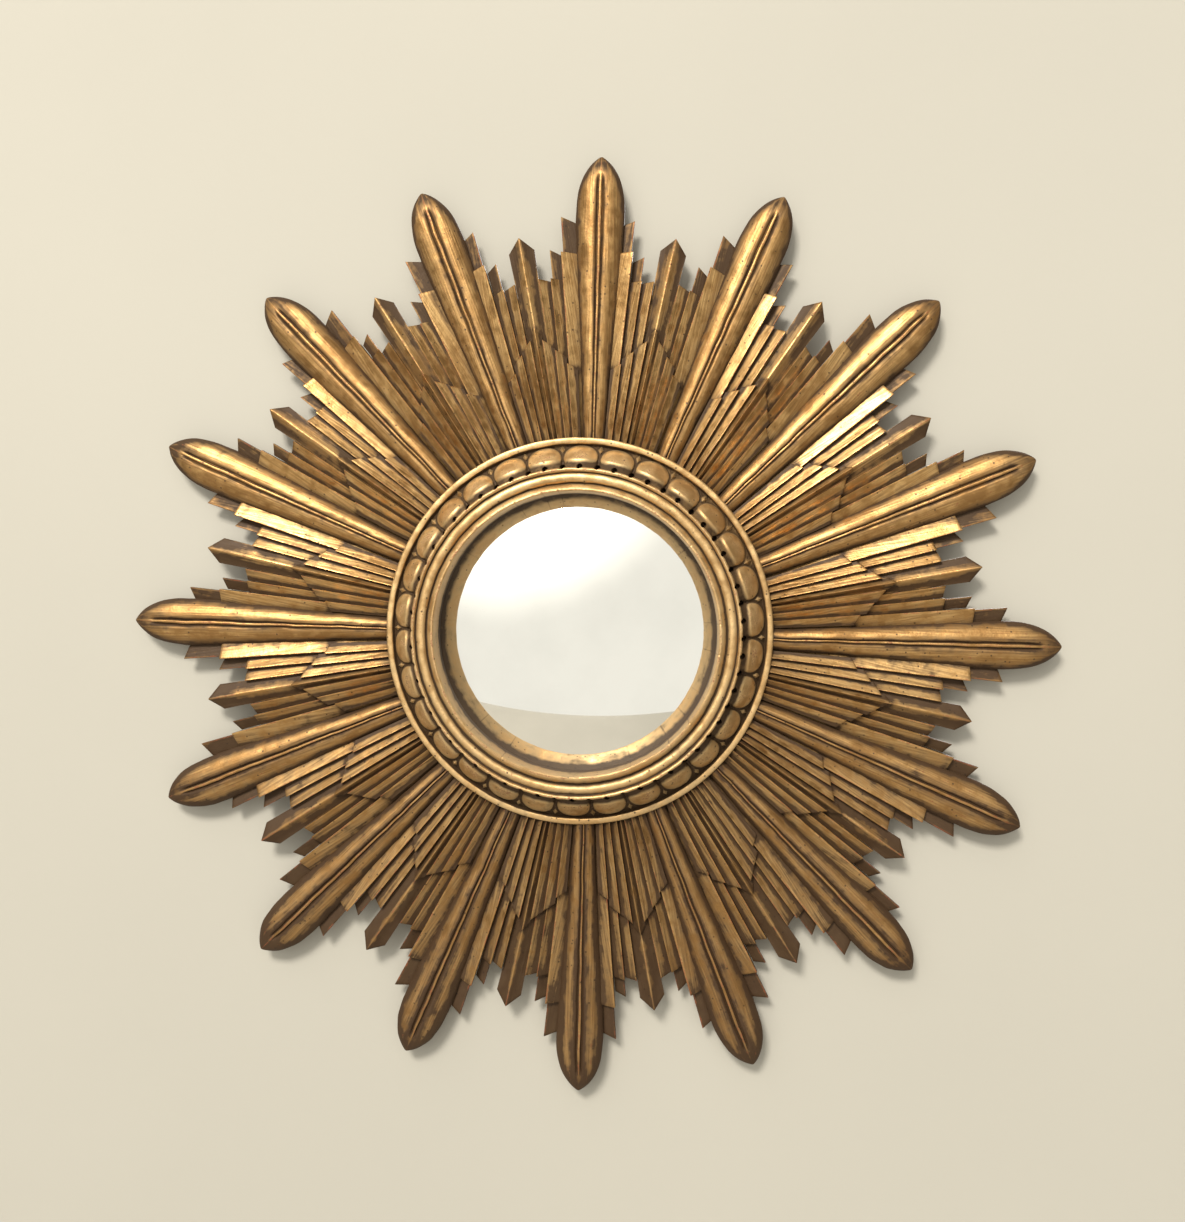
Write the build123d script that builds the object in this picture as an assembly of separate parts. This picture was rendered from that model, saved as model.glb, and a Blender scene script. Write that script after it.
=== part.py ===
from build123d import *

import os
from math import atan2, cos, degrees, radians, sin, tan

# Carved and gilt sunburst wall mirror. Everything is drawn lying on its back on a bench: x to the right,
# y up the wall, z out from the wall. facing_front() then stands it up, with +Z up and its face towards -Y.
# All sizes are in millimetres, all angles in degrees. The origin is the star's centre in the wall plane.

# Star
RAY_COUNT = 16
RAY_PITCH = 360 / RAY_COUNT
LANCE_LENGTH = 310
LANCE_HALF_ANGLE = 3.1
FAN_HALF_ANGLE = 7.75
RAY_ROOT = 112

# Hand-cut differences between the sixteen lances, clockwise from the top one
LENGTH_CHANGE = (1, 0, 2, 0, -3, -1, -2, -1, 0, 2, 3, 0, -1, 0, 0, 0)
LANCE_TURN = (0.3, 0.3, 0.1, -0.3, 0, 0.1, -0.3, 0.3, 0, -0.1, -0.3, -0.3, 0.2, 0, -0.3, 0.3)

# Layers, as heights above the wall
BOARD_TOP = 9
REAR_TOP = 13
OUTER_VALLEY = 15.2
OUTER_CREST = 17.8
INNER_VALLEY = 18.6
INNER_CREST = 21
LANCE_CREST = 20
LANCE_ROOT_LIFT = 1.5
LANCE_EDGE_LOW = 11
LANCE_EDGE_HIGH = 12.8
ABOVE_ALL = 60

# Half section of a lance: share of its half width, and depth under its crest
LANCE_HALF_SECTION = ((1, 4.5), (0.82, 1.2), (0.5, 0), (0.3, 0.6), (0.18, 3.5), (0.1, 1))

# Lance tip. The middle of its fall is given as distance from the tip and height above the wall.
TIP_LENGTH = 42
TIP_BULGE = 5.9
TIP_FALL_LENGTH = 46
TIP_FALL_MIDDLE = (15.3, 18.8)
TIP_UNDERCUT = 14

# Outer fan: half angles of its slats, and the radii where they end
PENCIL_HALF_ANGLE = 1.95
PENCIL_POINT = 262.5
PENCIL_SHOULDER = 255
OUTER_ENDS = ((234, 232), (233, 231.5), (250.5, 249))
OUTER_SEAT_RADIUS = 168

# Inner fan: radii where its slats end, nearer the fan's axis first
INNER_POINT = 203
INNER_SHOULDER = 198
INNER_ENDS = ((195, 189), (187, 182), (177, 173))

# Lower level of the outer fan: angle from its axis and radius for the corners of each finger's end
REAR_SLAB_RADIUS = 225
SHORT_FINGER = ((4.1, 249), (5.8, 245))
LONG_FINGER = ((6.1, 271), (7.75, 266))
FINGER_STEP = 1

# Egg ring and sight ring: their axis stands a little left of and above the star's centre
RING_AXIS = (-6.5, 1.4)
RING_RADIUS = 127.5
RING_GAP = 0.3
RING_CHAMFER = 1
FILLET_TOP = 22.5
FILLET_INNER = 123.2
FILLET_GROOVE = (122.6, 20.5)
HOLLOW_DEPTH = 2
HOLLOW_RADIUS = 107.3
REBATE_RADIUS = 96
SIGHT_RADIUS = 90.5
REBATE_TOP = 27
EGG_COUNT = 30
EGG_HALF_WIDTH = 10.4
EGG_HEIGHT = 5
EGG_ROOT = 1.5
EGG_SINK = 1.4
EGG_BAND_OUTER = (122.2, 21.5)
EGG_BAND_INNER = (108.2, 36)
RIDGE_RADII = (105.2, 98.6, 92.9)
RIDGE_TOPS = (46, 45, 46.5)
RIDGE_HALF_WIDTH = 1.5
GROOVE_DEPTH = 4
SIGHT_RING_RADIUS = 106.7
SIGHT_RING_GAP = 0.1

# Glass
GLASS_RADIUS = 95.3
GLASS_THICKNESS = 3
GLASS_APEX = 40
GLASS_CURVE = 320

# Board, packing ring, cover and hanger
BOARD_RADIUS = 226
BOARD_HOLE_RADIUS = 97
COVER_RADIUS = 103.7
COVER_THICKNESS = 3
COVER_GAP = 0.3
PACKING_INNER = 88
PACKING_OUTER = 95
PACKING_TOP = 22.4
HANGER_HEIGHT = 190
HANGER_SIZE = (56, 22, 2)
HANGER_EYE_RADIUS = 4.5
HANGER_POCKET = (9, 7.5)
HANGER_SCREW_OFFSET = 20

# Screws: head radius, shank radius, head height, length
COVER_SCREW = (2.6, 1.2, 1.5, 7.5)
RING_SCREW = (4, 2, 2.4, 24)
HANGER_SCREW = (3.4, 1.7, 1.7, 8)
SCREW_CLEARANCE = 0.1
SLOT_WIDTH = 0.8
SLOT_DEPTH = 0.7
COVER_SCREW_CIRCLE = 100.4
COVER_SCREW_START = 30
RING_SCREW_CIRCLE = 111
RING_FASTENER_COUNT = 6

STANDING_UP = (Align.CENTER, Align.CENTER, Align.MIN)


def facing_front(shape):
    """Turn a shape from the bench to the wall."""
    return Rot(90, 0, 0) * shape


def save(name, shape):
    export_step(facing_front(shape), f"parts/{name}.step")


def clockwise(angle, shape):
    return Rot(0, 0, -angle) * shape


def polar(angle, radius):
    """A point on the bench: angle clockwise from the top, radius from the star's centre."""
    return (radius * sin(radians(angle)), radius * cos(radians(angle)))


def prism(points, bottom, top):
    """An upright prism over a closed outline on the bench."""
    outline = make_face(Polyline(points, close=True))
    return Pos(0, 0, bottom) * extrude(outline, top - bottom)


def section(points, radius):
    """An upright face across a ray, from (across, height) points."""
    return Plane.XZ.offset(-radius) * make_face(Polyline(points, close=True))


def ring_place(shape):
    return Pos(RING_AXIS[0], RING_AXIS[1], 0) * shape


def around_ring(radius, count, start, shape):
    """Copies of a shape on a circle about the ring's axis."""
    copies = []
    for index in range(count):
        angle = start + index * 360 / count
        copies.append(ring_place(clockwise(angle, Pos(0, radius, 0) * shape)))
    return copies


def clear_of_ring(shape):
    """Cut a ray's root back to the outside of the ring."""
    cutter = Cylinder(RING_RADIUS + RING_GAP, ABOVE_ALL, align=STANDING_UP)
    return shape - ring_place(cutter)


def ridged_slat(half_angle, bottom, valley, crest, ends):
    """A slat with a roof-shaped top, whose sides run to the star's centre. ends is left, middle, right."""
    faces = []
    for radius in (RAY_ROOT, max(ends)):
        half = radius * tan(radians(half_angle))
        outline = [(-half, bottom), (half, bottom), (half, valley), (0, crest), (-half, valley)]
        faces.append(section(outline, radius))
    body = loft(faces, ruled=True)
    half_left = ends[0] * tan(radians(half_angle))
    half_right = ends[2] * tan(radians(half_angle))
    root = RAY_ROOT * tan(radians(half_angle))
    plan = [(-root, RAY_ROOT), (root, RAY_ROOT), (half_right, ends[2]), (0, ends[1]), (-half_left, ends[0])]
    return body & prism(plan, bottom, crest)


def slat_row(middle_half_angle, middle_ends, side_ends, bottom, valley, crest):
    """A middle slat with three narrower slats on each side of it."""
    side_half_angle = (FAN_HALF_ANGLE - middle_half_angle) / (2 * len(side_ends))
    row = ridged_slat(middle_half_angle, bottom, valley, crest, middle_ends)
    for index, (near, far) in enumerate(side_ends):
        turn = middle_half_angle + (2 * index + 1) * side_half_angle
        middle = (near + far) / 2
        right = ridged_slat(side_half_angle, bottom, valley, crest, (near, middle, far))
        left = ridged_slat(side_half_angle, bottom, valley, crest, (far, middle, near))
        row += clockwise(turn, right)
        row += clockwise(-turn, left)
    return row


def outer_fan():
    """The long slats between two lances, with the pencil ray in the middle, over the lower level."""
    ends = (PENCIL_SHOULDER, PENCIL_POINT, PENCIL_SHOULDER)
    row = slat_row(PENCIL_HALF_ANGLE, ends, OUTER_ENDS, REAR_TOP, OUTER_VALLEY, OUTER_CREST)
    corners = [
        polar(-FAN_HALF_ANGLE, RAY_ROOT),
        polar(-FAN_HALF_ANGLE, OUTER_SEAT_RADIUS),
        polar(FAN_HALF_ANGLE, OUTER_SEAT_RADIUS),
        polar(FAN_HALF_ANGLE, RAY_ROOT),
    ]
    return row + prism(corners, REAR_TOP, OUTER_CREST) + rear_level()


def inner_fan():
    """The seven short slats that lie over the outer fan and end in a stepped chevron."""
    slat_half_angle = FAN_HALF_ANGLE / (2 * len(INNER_ENDS) + 1)
    ends = (INNER_SHOULDER, INNER_POINT, INNER_SHOULDER)
    return slat_row(slat_half_angle, ends, INNER_ENDS, OUTER_CREST, INNER_VALLEY, INNER_CREST)


def rear_level():
    """The lower level of an outer fan, with two fingers showing on each side."""
    right = [
        polar(SHORT_FINGER[0][0], REAR_SLAB_RADIUS),
        polar(*SHORT_FINGER[0]),
        polar(*SHORT_FINGER[1]),
        polar(LONG_FINGER[0][0], SHORT_FINGER[1][1] - FINGER_STEP),
        polar(*LONG_FINGER[0]),
        polar(*LONG_FINGER[1]),
    ]
    left = []
    for across, along in reversed(right):
        left.append((-across, along))
    roots = [polar(LONG_FINGER[1][0], RAY_ROOT), polar(-LONG_FINGER[1][0], RAY_ROOT)]
    return prism(left + right + roots, BOARD_TOP, REAR_TOP)


def lance_section(radius, lift):
    """Two rounded lobes with a bead rib between two grooves, across a lance."""
    half = radius * tan(radians(LANCE_HALF_ANGLE))
    right = []
    for share, depth in LANCE_HALF_SECTION:
        right.append((share * half, LANCE_CREST - depth + lift))
    left = []
    for across, height in reversed(right):
        left.append((-across, height))
    return section([(-half, BOARD_TOP), (half, BOARD_TOP)] + right + left, radius)


def lance_plan(length):
    """The lance seen from the front: straight sides and an ogive tip."""
    shoulder = length - TIP_LENGTH
    half = shoulder * tan(radians(LANCE_HALF_ANGLE))
    root = RAY_ROOT * tan(radians(LANCE_HALF_ANGLE))
    bulge = (half / 2 + TIP_BULGE, shoulder + TIP_LENGTH / 2)
    edges = Polyline([(-half, shoulder), (-root, RAY_ROOT), (root, RAY_ROOT), (half, shoulder)])
    edges += ThreePointArc((half, shoulder), bulge, (0, length))
    edges += ThreePointArc((0, length), (-bulge[0], bulge[1]), (-half, shoulder))
    return extrude(make_face(edges), LANCE_CREST + 2 * LANCE_ROOT_LIFT)


def lance_profile(length):
    """The lance seen from its side: it thins towards the tip, in front and behind."""
    fall = length - TIP_FALL_LENGTH
    top = LANCE_CREST + 2 * LANCE_ROOT_LIFT
    middle = (length - TIP_FALL_MIDDLE[0], TIP_FALL_MIDDLE[1])
    edges = Polyline([(fall, top), (RAY_ROOT, top), (RAY_ROOT, BOARD_TOP)])
    edges += Line((RAY_ROOT, BOARD_TOP), (length - TIP_UNDERCUT, BOARD_TOP))
    edges += Line((length - TIP_UNDERCUT, BOARD_TOP), (length, LANCE_EDGE_LOW))
    edges += Line((length, LANCE_EDGE_LOW), (length, LANCE_EDGE_HIGH))
    edges += ThreePointArc((length, LANCE_EDGE_HIGH), middle, (fall, LANCE_CREST))
    edges += Line((fall, LANCE_CREST), (fall, top))
    side = Plane.YZ * make_face(edges)
    return extrude(side, LANCE_LENGTH, both=True)


def lance(length):
    body = loft([lance_section(RAY_ROOT, LANCE_ROOT_LIFT), lance_section(length, 0)], ruled=True)
    return body & lance_plan(length) & lance_profile(length)


def egg_ring_profile():
    """Half section of the egg ring: rebate, outer edge, fillet, egg band, hollow and the sight ring's seat."""
    seat = SIGHT_RING_RADIUS + SIGHT_RING_GAP
    hollow = EGG_BAND_INNER[1] - HOLLOW_DEPTH
    points = [
        (REBATE_RADIUS, REBATE_TOP),
        (REBATE_RADIUS, BOARD_TOP),
        (RING_RADIUS, BOARD_TOP),
        (RING_RADIUS, FILLET_TOP - RING_CHAMFER),
        (RING_RADIUS - RING_CHAMFER, FILLET_TOP),
        (FILLET_INNER, FILLET_TOP),
        FILLET_GROOVE,
        (EGG_BAND_INNER[0], hollow),
        (seat, hollow),
        (seat, REBATE_TOP),
    ]
    return Plane.XZ * make_face(Polyline(points, close=True))


def sight_ring_profile():
    """Half section of the sight ring: flat back, three ridges and the sight edge."""
    points = [(SIGHT_RADIUS, REBATE_TOP), (SIGHT_RING_RADIUS, REBATE_TOP)]
    for index, (radius, top) in enumerate(zip(RIDGE_RADII, RIDGE_TOPS)):
        if index > 0:
            groove = (RIDGE_RADII[index - 1] + radius) / 2
            points.append((groove, top - GROOVE_DEPTH))
        points.append((radius + RIDGE_HALF_WIDTH, top - RIDGE_HALF_WIDTH))
        points.append((radius + RIDGE_HALF_WIDTH / 2, top))
        points.append((radius - RIDGE_HALF_WIDTH / 2, top))
        points.append((radius - RIDGE_HALF_WIDTH, top - RIDGE_HALF_WIDTH))
    points.append((SIGHT_RADIUS, RIDGE_TOPS[-1] - GROOVE_DEPTH))
    return Plane.XZ * make_face(Polyline(points, close=True))


def egg():
    """One egg: the cap of a ball whose flat base is sunk into the egg band's slope."""
    ball_radius = (EGG_HALF_WIDTH**2 + EGG_HEIGHT**2) / (2 * EGG_HEIGHT)
    ball = Pos(0, 0, EGG_HEIGHT - ball_radius) * Sphere(ball_radius)
    size = 2 * ball_radius
    keep = Pos(0, 0, -EGG_ROOT) * Box(size, size, size, align=STANDING_UP)
    rise = EGG_BAND_INNER[1] - EGG_BAND_OUTER[1]
    run = EGG_BAND_OUTER[0] - EGG_BAND_INNER[0]
    return Rot(-degrees(atan2(rise, run)), 0, 0) * (ball & keep)


def egg_ring():
    ring = ring_place(revolve(egg_ring_profile(), Axis.Z))
    ring -= ring_fasteners(RING_SCREW, RING_SCREW_CIRCLE, 0, SCREW_CLEARANCE)
    middle_radius = (EGG_BAND_OUTER[0] + EGG_BAND_INNER[0]) / 2
    middle_height = (EGG_BAND_OUTER[1] + EGG_BAND_INNER[1]) / 2 - EGG_SINK
    hollow = Cylinder(HOLLOW_RADIUS, ABOVE_ALL, align=STANDING_UP)
    top_egg = Pos(0, middle_radius, middle_height) * egg() - hollow
    return ring + around_ring(0, EGG_COUNT, 0, top_egg)


def sight_ring():
    return ring_place(revolve(sight_ring_profile(), Axis.Z))


def convex_glass():
    """A dome of even thickness, cut from two spheres with one centre."""
    centre = GLASS_APEX - GLASS_CURVE
    outer = Pos(0, 0, centre) * Sphere(GLASS_CURVE)
    inner = Pos(0, 0, centre) * Sphere(GLASS_CURVE - GLASS_THICKNESS)
    blank = Cylinder(GLASS_RADIUS, GLASS_APEX + 1, align=STANDING_UP)
    return ring_place((outer - inner) & blank)


def screw(size, clearance=0):
    """A countersunk slotted wood screw pointing away from the wall, its head flush with z = 0."""
    head_radius, shank_radius, head_height, length = size
    head = Cone(head_radius + clearance, shank_radius + clearance, head_height, align=STANDING_UP)
    shank = Cylinder(shank_radius + clearance, length + clearance, align=STANDING_UP)
    body = head + shank
    if clearance == 0:
        body -= Box(2 * head_radius + 1, SLOT_WIDTH, SLOT_DEPTH, align=STANDING_UP)
    return body


def ring_fasteners(size, circle, start, clearance=0):
    return around_ring(circle, RING_FASTENER_COUNT, start, screw(size, clearance))


def hanger_fasteners(clearance=0):
    copies = []
    for side in (-1, 1):
        place = Pos(side * HANGER_SCREW_OFFSET, HANGER_HEIGHT, 0)
        copies.append(place * screw(HANGER_SCREW, clearance))
    return copies


def hanger_plate():
    width, height, thickness = HANGER_SIZE
    plate = Pos(0, HANGER_HEIGHT, 0) * Box(width, height, thickness, align=STANDING_UP)
    eye = Pos(0, HANGER_HEIGHT, 0) * Cylinder(HANGER_EYE_RADIUS, thickness, align=STANDING_UP)
    return plate - eye - hanger_fasteners(SCREW_CLEARANCE)


def backing_board():
    width, height, thickness = HANGER_SIZE
    pocket_radius, pocket_depth = HANGER_POCKET
    board = Cylinder(BOARD_RADIUS, BOARD_TOP, align=STANDING_UP)
    board -= ring_place(Cylinder(BOARD_HOLE_RADIUS, BOARD_TOP, align=STANDING_UP))
    board -= ring_place(Cylinder(COVER_RADIUS + COVER_GAP, COVER_THICKNESS, align=STANDING_UP))
    recess = Box(width + 2 * COVER_GAP, height + 2 * COVER_GAP, thickness, align=STANDING_UP)
    pocket = Cylinder(pocket_radius, pocket_depth, align=STANDING_UP)
    board -= Pos(0, HANGER_HEIGHT, 0) * (recess + pocket)
    board -= ring_fasteners(RING_SCREW, RING_SCREW_CIRCLE, 0, SCREW_CLEARANCE)
    board -= ring_fasteners(COVER_SCREW, COVER_SCREW_CIRCLE, COVER_SCREW_START, SCREW_CLEARANCE)
    return board - hanger_fasteners(SCREW_CLEARANCE)


def back_cover():
    cover = ring_place(Cylinder(COVER_RADIUS, COVER_THICKNESS, align=STANDING_UP))
    return cover - ring_fasteners(COVER_SCREW, COVER_SCREW_CIRCLE, COVER_SCREW_START, SCREW_CLEARANCE)


def packing_ring():
    height = PACKING_TOP - COVER_THICKNESS
    outer = Cylinder(PACKING_OUTER, height, align=STANDING_UP)
    inner = Cylinder(PACKING_INNER, height, align=STANDING_UP)
    return ring_place(Pos(0, 0, COVER_THICKNESS) * (outer - inner))


def main():
    os.makedirs("parts", exist_ok=True)
    fan = outer_fan()
    short_fan = inner_fan()
    for index in range(RAY_COUNT):
        number = index + 1
        lance_angle = index * RAY_PITCH
        fan_angle = lance_angle + RAY_PITCH / 2
        ray = lance(LANCE_LENGTH + LENGTH_CHANGE[index])
        save(f"lance_{number:02d}", clear_of_ring(clockwise(lance_angle + LANCE_TURN[index], ray)))
        save(f"outer_fan_{number:02d}", clear_of_ring(clockwise(fan_angle, fan)))
        save(f"inner_fan_{number:02d}", clear_of_ring(clockwise(fan_angle, short_fan)))
    save("egg_ring_moulding", egg_ring())
    save("reeded_sight_ring", sight_ring())
    save("convex_mirror", convex_glass())
    save("mirror_packing_ring", packing_ring())
    save("back_cover", back_cover())
    cover_fasteners = ring_fasteners(COVER_SCREW, COVER_SCREW_CIRCLE, COVER_SCREW_START)
    save("cover_screws", Compound(children=cover_fasteners))
    save("backing_board", backing_board())
    save("ring_screws", Compound(children=ring_fasteners(RING_SCREW, RING_SCREW_CIRCLE, 0)))
    save("hanger_plate", hanger_plate())
    save("hanger_screws", Compound(children=hanger_fasteners()))


main()
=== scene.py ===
from math import cos, pi, radians, sin, tan

import bmesh
import bpy
import numpy as np
from mathutils import Matrix, Vector


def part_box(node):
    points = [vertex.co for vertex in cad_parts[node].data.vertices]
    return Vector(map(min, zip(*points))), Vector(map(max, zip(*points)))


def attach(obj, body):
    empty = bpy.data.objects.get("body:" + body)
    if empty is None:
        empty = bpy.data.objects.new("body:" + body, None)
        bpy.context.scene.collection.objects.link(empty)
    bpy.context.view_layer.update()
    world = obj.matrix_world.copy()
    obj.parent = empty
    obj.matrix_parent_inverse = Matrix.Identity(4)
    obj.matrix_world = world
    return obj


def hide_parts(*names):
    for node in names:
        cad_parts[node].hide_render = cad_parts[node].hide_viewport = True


# A carved and gilt sunburst mirror on a wall. Shapes are worked out in millimetres. A ray's own coordinates
# are (across, along, height): across to the right of its axis, along from the star's centre outwards, and
# height off the wall. stand_up() turns them to the frame's metres, with +Z up and the face towards -Y.

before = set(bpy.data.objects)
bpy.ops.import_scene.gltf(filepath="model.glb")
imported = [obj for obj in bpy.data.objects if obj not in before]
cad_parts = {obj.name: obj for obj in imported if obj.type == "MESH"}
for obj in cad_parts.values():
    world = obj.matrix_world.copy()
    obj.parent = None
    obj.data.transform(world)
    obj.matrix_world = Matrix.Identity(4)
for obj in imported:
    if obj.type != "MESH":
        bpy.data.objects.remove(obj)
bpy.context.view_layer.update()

MM = 0.001
RAY_COUNT = 16
RAY_PITCH = 360 / RAY_COUNT


def middle_of(node):
    low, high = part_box(node)
    return (low + high) / 2 / MM


def radius_of(node):
    low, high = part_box(node)
    return (high.x - low.x) / 2 / MM


def front_of(node):
    """The greatest height off the wall that a CAD node reaches."""
    return -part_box(node)[0].y / MM


# Read from the frame
RING_CENTRE = (middle_of("convex_mirror").x, middle_of("convex_mirror").z)
RING_RADIUS = radius_of("egg_ring_moulding")
GLASS_RADIUS = radius_of("convex_mirror")
GLASS_APEX = front_of("convex_mirror")
BOARD_TOP = front_of("backing_board")
BOARD_RADIUS = radius_of("backing_board")
LANCE_ROOT_TOP = front_of("lance_01")
INNER_CREST = front_of("inner_fan_01")
OUTER_CREST = front_of("outer_fan_01")
RIDGE_TOP = front_of("reeded_sight_ring")

# Every ray: how far its hidden end runs into the ring, and how far the painted shade where it meets the ring
# reaches out from there
ROOT_OVERLAP = 0.8
ROOT_SHADE_REACH = 5

# Every carved piece: the points down its side walls, its underside, its hard edges and its unevenness
SIDE_WALL_SHARES = (0.15, 0.6)
UNDERSIDE_PATINA = (1.0, 0.0, 0.8)
SHARP_ANGLE = 38
GRAIN_STEP = 7.3
MERGE_DISTANCE = 1e-6
RIPPLE_LENGTHS = (9, 60)
RIPPLE_WIDTHS = (6, 30)
RIPPLE_GAIN = 1.6

# Lance. Its columns and curves go by the share of its half width, from the rib at 0 to its edge at 1. The
# tip's lengths are counted back from its point.
LANCE_HALF_ANGLE = 3.1
LANCE_ROOT_LIFT = 1.5
LANCE_CREST = LANCE_ROOT_TOP - LANCE_ROOT_LIFT
TIP_LENGTH = 42
TIP_POWER = 3.0
TIP_ROUNDNESS = 0.8
TIP_FALL = 7.2
TIP_FALL_LENGTH = 46
TIP_FALL_POWER = 4.4
TIP_UNDERCUT_LENGTH = 14
TIP_UNDERCUT = 2
TIP_ROUNDING = 0.06
TIP_GRIME_LENGTH = 30
BODY_ROWS = 68
TIP_ROWS = 34
TIP_ROW_POWER = 1.8
RIB_END = (11, 17)
LANCE_SWAY = 0.25
LANCE_UNEVEN = 0.22
LEAF_SWELL = 1.3
LEAF_SWELL_SPAN = (170, 262)
LANCE_COLUMNS = (0, 0.025, 0.05, 0.07, 0.09, 0.11, 0.13, 0.16, 0.2, 0.26, 0.34, 0.43, 0.52, 0.61, 0.7,
                 0.78, 0.85, 0.9, 0.94, 0.97, 0.99, 1)
LANCE_DEPTH = ((0, 0.3), (0.05, 0.5), (0.075, 1.4), (0.1, 2.1), (0.125, 1.9), (0.16, 0.7), (0.21, 0.15),
               (0.3, 0.1), (0.45, 0.55), (0.6, 1.4), (0.72, 2.4), (0.82, 3.5), (0.92, 4.8), (1, 6.3))
TIP_DEPTH = ((0, 0), (0.4, 0.4), (0.7, 1.8), (0.9, 4), (1, 6))
RIB_DIRT = ((0, 0), (0.05, 0.3), (0.08, 0.95), (0.13, 1.1), (0.18, 0.6), (0.3, 0.25), (0.45, 0), (1, 0))
EDGE_DARKENING = ((0, 0), (0.65, 0.05), (0.82, 0.5), (1, 1.1))
LANCE_RUBBED = ((0, 0.9), (0.08, 0.5), (0.15, 0), (0.42, 0.1), (0.55, 0.75), (0.7, 0.15), (1, 0.2))
LANCE_ROOT_SHADE = 0.7

# Fans. Angles are degrees from a fan's axis. An end is two radii: on a slat's near side and on its far side.
FAN_HALF_ANGLE = 7.75
CRACK = 0.03
REAR_TOP = 13
OUTER_VALLEY = 14.6
INNER_VALLEY = 18.0
CREST_LIFT = 0.6
FAN_REACH = 8.4
PENCIL_HALF_ANGLE = 1.95
PENCIL_END = (262.5, 254)
PENCIL_CHANGE = (0, 0, -1, -4, -7, -9, -5, -7, -5, 0, 1, -1, 0, -3, 0, 0)
OUTER_ENDS = ((234, 232), (233, 231.5), (250.5, 249))
INNER_END = (203, 198)
INNER_ENDS = ((195, 189), (187, 182), (177, 173))
SHORT_FINGER = ((4.1, 5.8), (249, 245))
LONG_FINGER = ((6.1, 8.4), (273, 268))
FINGER_CHANGE = 2.5
END_CHANGE = 0.8
CREST_CHANGE = 0.25
SLAT_COLUMNS = (0, 0.03, 0.07, 0.13, 0.22, 0.34, 0.48, 0.63, 0.78, 0.9, 0.97, 1)
MIDDLE_COLUMNS = (0, 0.03, 0.08, 0.2, 0.35, 0.52, 0.7, 0.86, 0.96, 1)
MIDDLE_VALLEY_SHADE = ((0, 0), (0.4, 0.5), (0.75, 1), (1, 0.7))
MIDDLE_POWER = 1.35
SLAT_POWER = 1.3
FINGER_POWER = 1.2
SLAT_ROWS = 34
LAST_PLAIN_ROW = 0.97
END_ROWS = (0.985, 0.995, 1)
END_BEVEL = (0, 0.12, 0.5)
END_RUBBED_REACH = 1.2
SLAT_ROOT_SHADE = 0.6
SLAT_UNEVEN = 0.14
SLAB_UNEVEN = 0.05
SLAB_COLUMNS = 9
LAYER_OVERLAP = 0.4

# Ring. Radii are from the ring's own axis. BAND_OUTER is a radius and the height that the band has there.
EGG_COUNT = 30
EGG_STEPS = 44
NOTCH_COUNT = 2 * EGG_COUNT
NOTCH_RADIUS = 1.5
NOTCH_CIRCLE = 107.4
NOTCH_DEPTH = 5
BAND_OUTER = (122.3, 20.6)
BAND_SPAN = (122.8, 107.0)
BAND_ROWS = 56
BAND_SLOPE = 1.0
EGG_SHOULDER = 112.5
EGG_END = 121.9
EGG_GAP = 1.0
EGG_RISE = 4.8
EGG_CHANGE = 0.25
EGG_SHIFT = 0.3
OUTLINE_POWER = 2.3
DOME_POWERS = (2.1, 0.68)
OUTLINE_REACH = 9
GROOVE_DEPTH = 1.5
DART_CIRCLE = 119.6
DART_HALF = (2.3, 3.3)
DART_HEIGHT = 3.4
SCOOP_SPAN = (113.2, 109.6)
SCOOP_DEPTH = 2.0
SIGHT_STEPS = 960
SIGHT_UNEVEN = 0.12
NICK_DEPTH = 0.5

# Glass
DOME_RADIUS = 320
GLASS_THICKNESS = 3
GLASS_STEPS = 256
GLASS_ROWS = 50


def clamp(values):
    return np.clip(values, 0, 1)


def smoothstep(low, high, values):
    share = clamp((values - low) / (high - low))
    return share * share * (3 - 2 * share)


def curve(points, at):
    """A smooth curve through (x, y) points that never overshoots them, read at the given places."""
    xs, ys = np.array(points, float).T
    step = np.diff(ys) / np.diff(xs)
    slope = np.zeros_like(xs)
    slope[0], slope[-1] = step[0], step[-1]
    for i in range(1, len(step)):
        if step[i] * step[i - 1] > 0:
            slope[i] = 2 * step[i] * step[i - 1] / (step[i] + step[i - 1])
    at = np.clip(at, xs[0], xs[-1])
    i = np.clip(np.searchsorted(xs, at, side="right") - 1, 0, len(xs) - 2)
    width = xs[i + 1] - xs[i]
    t = (at - xs[i]) / width
    start = ys[i] * (1 + 2 * t) * (1 - t) ** 2 + slope[i] * width * t * (1 - t) ** 2
    return start + ys[i + 1] * t * t * (3 - 2 * t) + slope[i + 1] * width * t * t * (t - 1)


def ripple(rng, across, along, waves=7):
    """The gentle unevenness of hand-cut wood, about -1 to 1."""
    total = 0
    for _ in range(waves):
        length = rng.uniform(*RIPPLE_LENGTHS)
        width = rng.uniform(*RIPPLE_WIDTHS)
        total = total + np.sin(2 * pi * (along / length + across / width + rng.random()))
    return total / waves * RIPPLE_GAIN


def ring_reach(angle):
    """Distance from the star's centre to just inside the ring's edge, along a direction in degrees."""
    turn = np.radians(angle)
    x, z = RING_CENTRE
    along = x * np.sin(turn) + z * np.cos(turn)
    return along + np.sqrt((RING_RADIUS - ROOT_OVERLAP) ** 2 - (x * x + z * z - along**2))


def stand_up(points, angle):
    """Ray coordinates in millimetres to the frame's metres, for a ray at an angle clockwise from the top."""
    across, along, height = points.T
    turn = radians(angle)
    x = across * cos(turn) + along * sin(turn)
    z = -across * sin(turn) + along * cos(turn)
    return np.column_stack((x, -height, z)) * MM


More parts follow.
